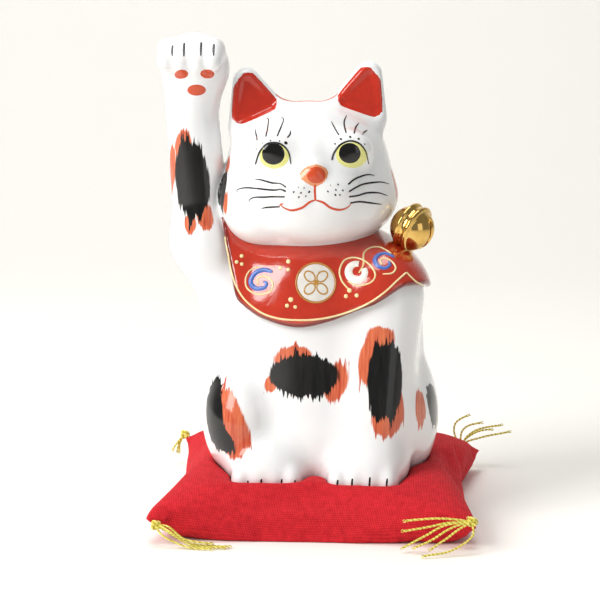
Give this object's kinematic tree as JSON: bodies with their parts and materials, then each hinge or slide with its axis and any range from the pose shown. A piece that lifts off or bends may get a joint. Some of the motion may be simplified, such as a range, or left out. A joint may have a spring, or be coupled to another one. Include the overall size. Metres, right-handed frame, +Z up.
{
  "type": "ceramic cat figurine",
  "caption": "Glazed porcelain beckoning cat with one forepaw raised, a bib and a round bell, seated in the pocket of a square tasselled cushion.",
  "frame": {"origin": "centre of the cushion's flat underside, on the surface that the part stands on", "axes": "+Z up, -Y the way the cat's body faces, +X the cat's own left"},
  "size_m": [0.1441, 0.1444, 0.187],
  "materials": {
    "glazed_porcelain": "clear gloss glaze over white porcelain",
    "red_enamel": "gloss overglaze enamel",
    "gold_lustre": "polished gold lustre over glaze",
    "red_cotton": "plain weave cotton",
    "cotton_wadding": "loose cotton wadding",
    "yellow_thread": "twisted embroidery thread"
  },
  "bodies": {
    "cushion": {"cushion_top_panel": "red_cotton", "cushion_bottom_panel": "red_cotton", "cushion_filling": "cotton_wadding", "tassel_front_left": "yellow_thread", "tassel_front_right": "yellow_thread", "tassel_back_right": "yellow_thread", "tassel_back_left": "yellow_thread"},
    "figurine": {"body_casting": "glazed_porcelain", "raised_foreleg": "glazed_porcelain", "bib": "red_enamel", "bell": "gold_lustre"}
  },
  "joints": [
    {"name": "figurine_lift", "type": "slide", "parent": "cushion", "child": "figurine", "axis": [0, 0, 1], "range_m": [0, 0.03]}
  ]
}
